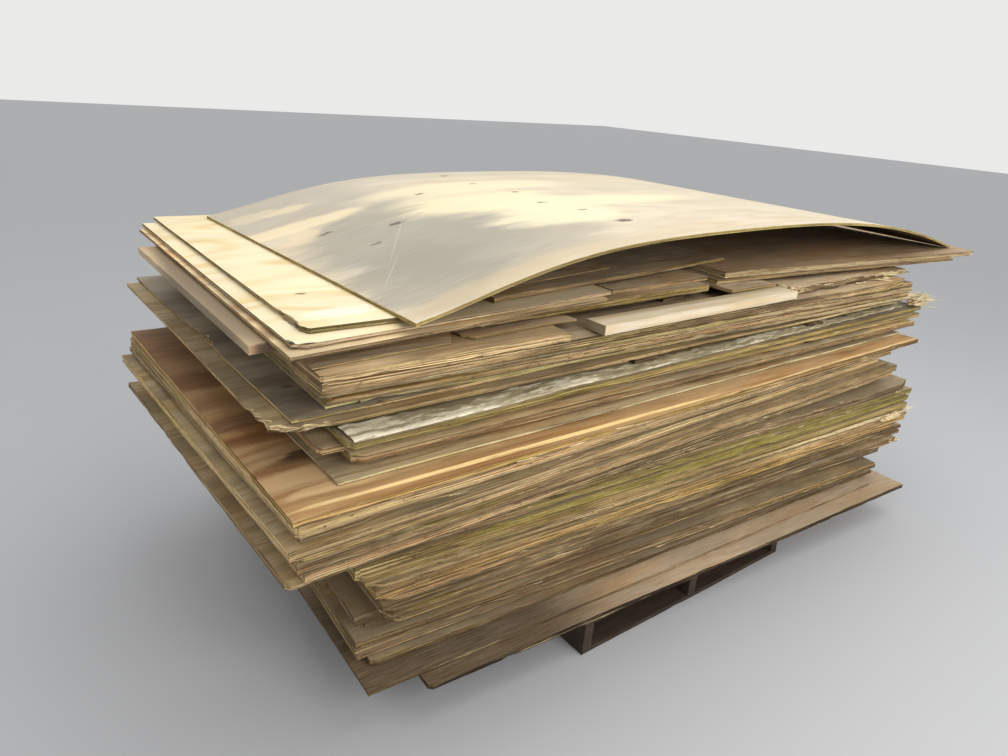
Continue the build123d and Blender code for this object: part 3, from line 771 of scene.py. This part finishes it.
def sheetArrays(corners, seed, look, values):
    # a closed surface: a profile of face margin, ply rings and face margin, carried round the outline
    rng = np.random.default_rng(seed)
    outline = outlineOf(corners)
    bottom, top = corners[:, 2].min(), corners[:, 2].max()
    thickness = top - bottom
    solid = "board" in look
    axes = planAxes(turnOf(outline))
    local = outline @ axes
    low, high = local.min(0), local.max(0)
    upright = high[1] - low[1] > high[0] - low[0]
    ring = walkOutline(local, values["step"], values["backStep"])
    along, length, inward = measureRing(ring)
    plies = 3 if solid else plyCounts.get(round(thickness * 1000), 7)
    tatters = [(np.array(spot) @ axes, size, torn) for spot, size, torn in look.get("tatters", ())]
    turned = {**look, "tatters": tatters}
    depth, chip = edgeDepths(ring, along, length, inward, plies, turned, values, rng)
    # the two faces part a little at the edges, more in some places than in others
    sink = values["gap"] * np.clip(0.6 + ripple(along, length, 0.6, rng, 2), 0, None)
    sink = np.minimum(sink, thickness * 0.2)
    margin = np.minimum(values["margin"], (high - low) * 0.25)
    middle = (low + high) / 2
    inner = middle + (ring - middle) * (1 - margin / ((high - low) / 2))
    rings = [np.column_stack([inner, np.full(len(ring), bottom)])]
    for ply in range(plies):
        edge = ring + inward * depth[ply][:, None]
        for part in (ply / plies, (ply + 1) / plies):
            height = bottom + sink[1] + part * (thickness - sink[0] - sink[1])
            rings.append(np.column_stack([edge, height]))
    rings.append(np.column_stack([inner, np.full(len(ring), top)]))
    stack = np.array(rings)
    count, last = len(ring), len(rings) - 1
    points = np.concatenate([stack[..., :2] @ axes.T, stack[..., 2:]], 2).reshape(-1, 3)
    row = np.arange(last)[:, None] * count
    here = np.arange(count)[None]
    after = (here + 1) % count
    quads = [row + here, row + after, row + count + after, row + count + here]
    quads = np.stack(quads, 2).reshape(-1, 4)
    caps = [np.arange(count)[::-1].tolist(), (np.arange(count) + last * count).tolist()]
    # corner data, row by row of quads: map, tone and wear
    faceTone, edgeTone = np.array(tones[look["face"]]), np.array(tones[look["edge"]])
    offset = rng.uniform(0, 40, 2)
    afterAlong = np.append(along[1:], length)
    side = (np.abs(inward[:, 0]) > 0.7).astype(float)
    tint = rng.uniform(*values["plyTones"], (plies, 1))
    tint = tint * (1 + 0.2 * ripple(along, length, 0.3, rng, plies))
    if solid:
        tint = np.ones((plies, len(along)))
    leftTone = np.where(inward[:, 0] > 0.7, look.get("side", 1), 1)
    tint = tint * rng.uniform(*values["sheetTones"]) * leftTone
    # painted shade: the lowest and the highest ply darken towards the faces, so the joins between sheets
    # look dark
    seamShade = np.clip(0.75 + 0.6 * ripple(along, length, 0.16, rng, 2), 0, 1)
    seamShade = 1 - values["seamShade"] * seamShade
    worldX = points[:count, 0]
    for start, end, factor in look.get("shade", ()):
        ragged = worldX + values["ragged"] * ripple(along, length, 0.35, rng, plies)
        inside = np.clip(np.minimum(ragged - start, end - ragged) / 0.2 + 0.5, 0, 1)
        tint = tint * factor ** (inside * np.clip(inward[:, 1], 0, 1))
    moss = np.zeros(count)
    for start, end, amount in look.get("moss", ()):
        inside = np.clip(np.minimum(worldX - start, end - worldX) / 0.15, 0, 1)
        moss = np.maximum(moss, amount * inside)
    faceWear = [look["grime"], 0.0, 0.0]
    mapping, colours, wearsAndShade = [], [], []

    def square(first, second=None):
        # a value per ring point, spread to the four corners of each quad
        second = first if second is None else second
        return np.stack([first, np.roll(first, -1, 0), np.roll(second, -1, 0), second], 1)

    for index in range(last):
        if index in (0, last - 1):
            uv = square(stack[index][:, :2], stack[index + 1][:, :2]) + offset
            if upright and solid:
                uv = uv[..., ::-1]
            colour = np.broadcast_to(faceTone, (count, 4, 3))
            wearAndShade = np.broadcast_to(faceWear, (count, 4, 3))
        else:
            ply = (index - 1) // 2
            lowV, highV = (ply + 0.02, ply + 0.98) if index % 2 else (ply + 0.9, ply + 0.99)
            u = np.stack([along, afterAlong, afterAlong, along], 1) + offset[0]
            v = np.array([[lowV, lowV, highV, highV]]) + side[:, None] + 2 * int(offset[1])
            if solid:
                v = square(stack[index][:, 2], stack[index + 1][:, 2])
            uv = np.stack([u, v], 2)
            lower = seamShade[0] if ply == 0 else 1.0
            upper = seamShade[1] if ply == plies - 1 else 1.0
            colour = edgeTone * square(tint[ply] * lower, tint[ply] * upper)[..., None]
            colour = np.minimum(colour, values["palest"])
            # painted shade: extra grime on the outermost plies darkens the joins between sheets
            outer = 0.45 if ply in (0, plies - 1) else 0.0
            fresh = np.clip(chip[ply] * 90 - 0.15, 0, 0.75) * look.get("fresh", 1)
            if solid:
                fresh = side if not upright else 1 - side
            grime = np.full((count, 4), look["grime"] + outer)
            wearAndShade = np.stack([grime, square(moss), square(fresh)], 2)
        mapping.append(uv.reshape(-1, 2))
        colours.append(colour.reshape(-1, 3))
        wearsAndShade.append(wearAndShade.reshape(-1, 3))
    for cap in caps:
        flat = stack.reshape(-1, 3)[cap][:, :2] + offset
        mapping.append(flat[:, ::-1] if upright and solid else flat)
        colours.append(np.broadcast_to(faceTone, (count, 3)))
        wearsAndShade.append(np.broadcast_to(faceWear, (count, 3)))
    slots = np.ones(len(quads) + 2, int)
    slots[:count] = slots[len(quads) - count:] = 0
    mapping, colours, wearsAndShade = (np.concatenate(rows) for rows in (mapping, colours, wearsAndShade))
    return points, quads.tolist() + caps, mapping, colours, wearsAndShade, slots


def joinArrays(name, parts, materials, smooth=False):
    # one mesh object from the arrays of one or more closed surfaces
    def joined(place):
        return np.concatenate([part[place] for part in parts])

    mesh = bpy.data.meshes.new(name)
    faceList, start = [], 0
    for part in parts:
        faceList += [[corner + start for corner in face] for face in part[1]]
        start += len(part[0])
    mesh.from_pydata(joined(0).tolist(), [], faceList)
    layer = mesh.uv_layers.new(name="sheetMap")
    layer.uv.foreach_set("vector", joined(2).astype(np.float32).ravel())
    for key, place in (("tone", 3), ("wearAndShade", 4)):
        attribute = mesh.color_attributes.new(name=key, type="FLOAT_COLOR", domain="CORNER")
        values = joined(place)
        values = np.column_stack([values, np.ones(len(values))])
        attribute.data.foreach_set("color", values.astype(np.float32).ravel())
    for material in materials:
        mesh.materials.append(material)
    slots = joined(5).astype(np.int32)
    mesh.polygons.foreach_set("material_index", slots)
    mesh.polygons.foreach_set("use_smooth", (slots == 0) if smooth else np.zeros(len(slots), bool))
    mesh.update()
    piece = bpy.data.objects.new(name, mesh)
    bpy.context.scene.collection.objects.link(piece)
    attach(piece, "root")
    return piece


def triangleCount(piece):
    return sum(len(face.vertices) - 2 for face in piece.data.polygons)


def dressNode(name, look, materials, seed, values):
    parts = [sheetArrays(corners, seed * 100 + index, look, values)
             for index, corners in enumerate(solidsOf(name))]
    piece = joinArrays(name + "_dressed", parts, materials)
    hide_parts(name)
    return triangleCount(piece)


total = 0
for seed, name in enumerate(sorted(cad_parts)):
    if name == "bowed_sheet":
        continue
    if name in boardLooks:
        kind, tone, grime = boardLooks[name]
        look = {"board": kind, "face": tone, "edge": tone, "grime": grime}
        total += dressNode(name, look, [boards[kind]] * 2, seed, {**sheetSet, **boardSize})
        continue
    base = next(values for key, values in baseLooks.items() if name.startswith(key))
    look = {**base, **sheetLooks[name]}
    total += dressNode(name, look, [faces[look["veneer"]], plyEdge], seed, sheetSet)
print("sheets and boards dressed:", total, "triangles")


# bowed sheet
bowLook = {
    "turn": 0.6,          # degrees
    "across": 122, "along": 244,   # cells of its two faces
    "thickness": 0.008, "plies": 3, "seed": 7,
    "degree": 8,          # of the polynomial that follows the CAD sheet's curve
    "lift": 0.016,        # how far the right end's back corner stands above its front one
    "liftFrom": 0.4, "liftSpan": 0.9,   # where along x that twist starts, and its length
    # underside: dark umber, painted shade for the hollow under the bow
    "face": "bone", "underside": "umber", "edge": "olive", "grime": 0.3, "chips": 0.6,
}


def gridCells(columns, rows):
    # the numbers of a grid's points, and the four corners of each of its cells
    number = np.arange(columns * rows).reshape(columns, rows)
    cell = [number[:-1, :-1], number[1:, :-1], number[1:, 1:], number[:-1, 1:]]
    return number, np.stack(cell, 2).reshape(-1, 4)


def bowArrays(corners, values):
    # both faces are grids along the CAD sheet's curve, joined by three rings of ply round the edge
    rng = np.random.default_rng(values["seed"])
    axes = planAxes(math.radians(values["turn"]))
    local = corners[:, :2] @ axes
    low, high = local.min(0), local.max(0)
    spots = np.unique(np.round(local[:, 0], 3))
    crest = np.array([corners[np.abs(local[:, 0] - spot) < 0.002, 2].max() for spot in spots])
    curve = np.polynomial.Polynomial.fit(spots, crest, values["degree"])
    thick, plies = values["thickness"], values["plies"]
    xs = np.linspace(low[0], high[0], values["along"] + 1)
    ys = np.linspace(low[1], high[1], values["across"] + 1)
    gridX, gridY = (part.T for part in np.meshgrid(xs, ys))
    number, cell = gridCells(len(xs), len(ys))
    rim = np.concatenate([number[:-1, 0], number[-1, :-1], number[:0:-1, -1], number[0, :0:-1]])
    flat = np.column_stack([gridX.ravel(), gridY.ravel()])
    ring = flat[rim]
    along, length, inward = measureRing(ring)
    depth, chip = edgeDepths(ring, along, length, inward, plies, values, sheetSet, rng)

    def heightAt(place):
        # the curve, plus a twist that grows as share ** 2 towards the right end's back corner
        share = np.clip((place[:, 0] - values["liftFrom"]) / values["liftSpan"], 0, 1) ** 2
        lift = values["lift"] * share * (place[:, 1] - low[1]) / (high[1] - low[1])
        return curve(place[:, 0]) + lift

    def layer(place, drop):
        return np.column_stack([place @ axes.T, heightAt(place) - drop])

    faceTop, faceBottom = flat.copy(), flat.copy()
    faceTop[rim] += inward * depth[-1][:, None]
    faceBottom[rim] += inward * depth[0][:, None]
    points = [layer(faceTop, 0), layer(faceBottom, thick)]
    faceList = [cell, cell[:, ::-1] + len(flat)]
    mapping = [flat[cell].reshape(-1, 2), flat[cell[:, ::-1]].reshape(-1, 2) + 5]
    tone = [np.broadcast_to(tones[values[key]], (len(cell) * 4, 3)) for key in ("face", "underside")]
    wearAndShade = [np.broadcast_to([values["grime"], 0, 0], (len(cell) * 8, 3))]
    slots = [np.zeros(len(cell), int), np.full(len(cell), 2)]
    count, start = len(rim), 2 * len(flat)
    here = np.arange(count)
    after = (here + 1) % count
    u = np.stack([along, np.append(along[1:], length)], 1)[:, [0, 1, 1, 0]]
    for ply in range(plies):
        edge = ring + inward * depth[ply][:, None]
        points += [layer(edge, thick * (1 - part / plies)) for part in (ply, ply + 1)]
        quads = start + np.stack([here, after, count + after, count + here], 1)
        start += 2 * count
        # the ply itself, then the step to the next one
        bands = [(ply + 0.02, ply + 0.98), (ply + 0.9, ply + 0.99)][:1 if ply == plies - 1 else 2]
        for step, (lowV, highV) in enumerate(bands):
            faceList.append(quads + step * count)
            v = np.broadcast_to([lowV, lowV, highV, highV], u.shape)
            mapping.append(np.stack([u, v], 2).reshape(-1, 2))
            tone.append(np.broadcast_to(tones[values["edge"]], (count * 4, 3)))
            fresh = np.repeat(np.clip(chip[ply] * 60, 0, 0.6), 4)
            wearAndShade.append(np.column_stack([np.full(count * 4, 0.4), np.zeros(count * 4), fresh]))
            slots.append(np.ones(count, int))
    quads = [face for part in faceList for face in part.tolist()]
    points, mapping, tone, wearAndShade, slots = (
        np.concatenate(rows) for rows in (points, mapping, tone, wearAndShade, slots))
    return points, quads, mapping, tone, wearAndShade, slots


bowCorners = np.concatenate(solidsOf("bowed_sheet"))
bow = joinArrays("bowed_sheet_dressed", [bowArrays(bowCorners, bowLook)],
                 [faces["bow"], plyEdge, faces["plain"]], smooth=True)
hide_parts("bowed_sheet")
print("bowed sheet ready:", triangleCount(bow), "triangles")


# dried growth on the rough sheet's front edge
growthPlace = {
    "node": "upper_sheet_04",
    "ends": (0.012, 0.03),         # bare lengths at its left and right end, metres
    "width": (0.07, 0.035),        # at its left and right end
    "setBack": (0.004, 0.03),      # from the edge, at its left and right end
    "height": 0.006,
    "columns": 620, "rows": 16,    # points along and across it
    "lump": (5, 3),                # points in a lump, along and across
    "seed": 41,
}


def growthArrays(values):
    # a lumpy skin along the front edge: height * noise, falling to nothing at its rims
    rng = np.random.default_rng(values["seed"])
    outline = outlineOf(np.concatenate(solidsOf(values["node"])))
    low, high = (np.array(corner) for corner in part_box(values["node"]))
    columns, rows = values["columns"], values["rows"]
    xs = np.linspace(low[0] + values["ends"][0], high[0] - values["ends"][1], columns)
    near = outline[outline[:, 1] < outline[:, 1].mean()]
    front = np.interp(xs, *near[np.argsort(near[:, 0])].T)

    def waves(knots):
        return ripple(np.arange(columns), columns, columns / knots, rng)[0]

    slow, quick = waves(16), waves(110)
    share = np.linspace(0, 1, columns)
    left, right = values["width"]
    reach = (left + (right - left) * share) * (1 + 0.3 * slow + 0.1 * quick)
    left, right = values["setBack"]
    back = left + (right - left) * share * (1 + 0.2 * quick)
    across = np.linspace(0, 1, rows)
    # lumps: random heights on a coarse grid, spread by tent shapes, times an arch across the skin
    coarse = rng.uniform(0, 1, [size // step + 2 for size, step in zip((columns, rows), values["lump"])])
    tents = [np.clip(1 - np.abs(np.arange(size)[:, None] / step - np.arange(knots)), 0, 1)
             for size, step, knots in zip((columns, rows), values["lump"], coarse.shape)]
    arch = np.sin(np.pi * np.clip(across * 0.85 + 0.12, 0, 1)) ** 0.6
    lumps = tents[0] @ coarse @ tents[1].T * arch
    tall = 0.5 + 0.5 * waves(60)
    height = high[2] + 0.0006 + values["height"] * lumps * (0.35 + 0.65 * tall[:, None])
    height[:, 0] = height[:, -1] = high[2] - 0.001
    place = (front + back)[:, None] + across * reach[:, None]
    place = np.stack([np.broadcast_to(xs[:, None], height.shape), place, height], 2)
    cell = gridCells(columns, rows)[1]
    flat = place.reshape(-1, 3)
    blank = np.ones((len(cell) * 4, 3))
    mapping = flat[cell].reshape(-1, 3)[:, :2]
    return flat, cell.tolist(), mapping, blank, blank, np.zeros(len(cell), int)


growth = joinArrays("dried_growth", [growthArrays(growthPlace)], [driedGrowth], smooth=True)
print("growth ready:", triangleCount(growth), "triangles")


# splinters at the torn ends
splinterSet = {
    # how much of the edge they stand on, their reach and way, how far in the foot sits, metres
    "end": {"until": 0.5, "reach": (0.012, 0.032), "way": (1.0, 0.0), "inset": (0.006, -0.002)},
    "front": {"until": 0.97, "reach": (0.03, 0.09), "way": (0.95, -0.06), "inset": (0.0, -0.004)},
    # half the width and half the thickness of their feet
    "sizes": ((0.001, 0.003), (0.0006, 0.0013)), "tuftSizes": ((0.0016, 0.0045), (0.0008, 0.0018)),
    "waist": 0.8,        # share of the foot's size left halfway
    "tone": "white", "tones": (0.75, 1.1), "wearAndShade": (0.1, 0.0, 0.45), "seed": 23,
    # node: how many on its right end, how many along its front edge
    "places": {
        "splintered_sheet": (16, 10), "short_sheet": (10, 4), "upper_sheet_11": (12, 3),
        "upper_sheet_10": (9, 2), "upper_sheet_09": (8, 3), "upper_sheet_08": (8, 3),
        "upper_sheet_06": (5, 4), "upper_sheet_05": (5, 6), "upper_sheet_03": (6, 4),
        "upper_sheet_02": (6, 5), "middle_sheet_09": (5, 7), "middle_sheet_07": (4, 5),
        "middle_sheet_02": (4, 8), "middle_sheet_01": (4, 8), "lower_sheet_18": (6, 6),
        "lower_sheet_14": (7, 5), "lower_sheet_12": (6, 8), "lower_sheet_11": (4, 8),
        "lower_sheet_04": (6, 4), "lower_sheet_02": (5, 4),
    },
    # where: the feet's middle and spread, how far the tips reach along x, and how many
    "tufts": [
        ((1.11, -0.605, 0.92), (0.03, 0.02, 0.014), (0.04, 0.12), 80),
        ((1.04, -0.60, 0.948), (0.03, 0.01, 0.006), (0.03, 0.09), 12),
        ((1.05, -0.674, 0.483), (0.1, 0.004, 0.01), (0.03, 0.09), 16),
        ((0.74, -0.622, 1.058), (0.1, 0.006, 0.008), (0.04, 0.1), 18),
        ((1.14, -0.655, 0.35), (0.04, 0.006, 0.01), (0.02, 0.05), 5),
    ],
}


def splinterArrays(values):
    # each splinter is a thin wedge: a small square foot inside the edge that runs out to a point
    rng = np.random.default_rng(values["seed"])
    feet, tips, sizes = [], [], []

    def plant(foot, way, reach, size):
        feet.append(foot)
        tips.append(foot + way * reach)
        sizes.append(np.column_stack([rng.uniform(*limits, len(foot)) for limits in size]))

    for node, counts in values["places"].items():
        solid = solidsOf(node)[0]
        low, high = solid.min(0), solid.max(0)
        plan = outlineOf(solid)
        nearLeft = plan[np.argmin(plan[:, 0] + 1.5 * plan[:, 1])]
        nearRight = plan[np.argmax(plan[:, 0] - 1.5 * plan[:, 1])]
        farRight = plan[np.argmax(plan[:, 0] + plan[:, 1])]
        runs = (("end", nearRight, farRight), ("front", nearLeft, nearRight))
        for count, (kind, start, end) in zip(counts, runs):
            run = values[kind]
            share = rng.uniform(0.03, run["until"], (count, 1))
            height = rng.uniform(low[2] + 0.002, high[2] - 0.002, (count, 1))
            foot = np.column_stack([start + (end - start) * share, height])
            foot[:, :2] -= np.array(run["inset"])
            reach = rng.uniform(*run["reach"], (count, 1))
            way = np.column_stack([np.full(count, run["way"][0]),
                                   np.full(count, run["way"][1]) * rng.uniform(0.6, 1.3, count),
                                   rng.uniform(-0.05, 0.05, count)])
            plant(foot, way, reach, values["sizes"])
    for middle, spread, reach, count in values["tufts"]:
        foot = rng.uniform(-1, 1, (count, 3)) * spread + middle
        slant, rise = rng.uniform(-0.4, 0.1, count), rng.uniform(-0.15, 0.22, count)
        way = np.column_stack([np.ones(count), slant, rise])
        plant(foot, way, rng.uniform(*reach, (count, 1)), values["tuftSizes"])
    foot, tip, size = np.concatenate(feet), np.concatenate(tips), np.concatenate(sizes)
    way = (tip - foot) / np.linalg.norm(tip - foot, axis=1)[:, None]
    side = np.column_stack([-way[:, 1], way[:, 0], np.zeros(len(way))])
    up = np.cross(way, side)
    signs = np.array([(-1, -1), (1, -1), (1, 1), (-1, 1)])
    wide, tall = (size[:, :1] * signs[:, 0])[..., None], (size[:, 1:] * signs[:, 1])[..., None]
    base = foot[:, None] + side[:, None] * wide + up[:, None] * tall
    middle = (foot + tip) / 2 + side * size[:, :1] * rng.uniform(-1.5, 1.5, (len(foot), 1))
    waist = middle[:, None] + (base - foot[:, None]) * values["waist"]
    points = np.concatenate([base, waist, tip[:, None]], 1).reshape(-1, 3)
    # nine points each: four of the foot, four of the waist and the tip
    first = np.arange(len(foot)) * 9
    faceList = []
    for corner in range(4):
        after = (corner + 1) % 4
        sideFace = [first + corner, first + after, first + 4 + after, first + 4 + corner]
        faceList += np.stack(sideFace, 1).tolist()
        faceList += np.stack([first + 4 + corner, first + 4 + after, first + 8], 1).tolist()
    faceList += np.stack([first + 3, first + 2, first + 1, first], 1).tolist()
    index = np.concatenate(faceList)
    mapping = np.column_stack([points[index][:, 0], points[index][:, 2] * 30])
    shade = rng.uniform(*values["tones"], len(foot))[index // 9]
    tone = np.array(tones[values["tone"]]) * shade[:, None]
    wearAndShade = np.broadcast_to(values["wearAndShade"], (len(index), 3))
    return points, faceList, mapping, tone, wearAndShade, np.zeros(len(faceList), int)


splinters = joinArrays("splinters", [splinterArrays(splinterSet)], [plyEdge])
print("splinters ready:", triangleCount(splinters), "triangles")
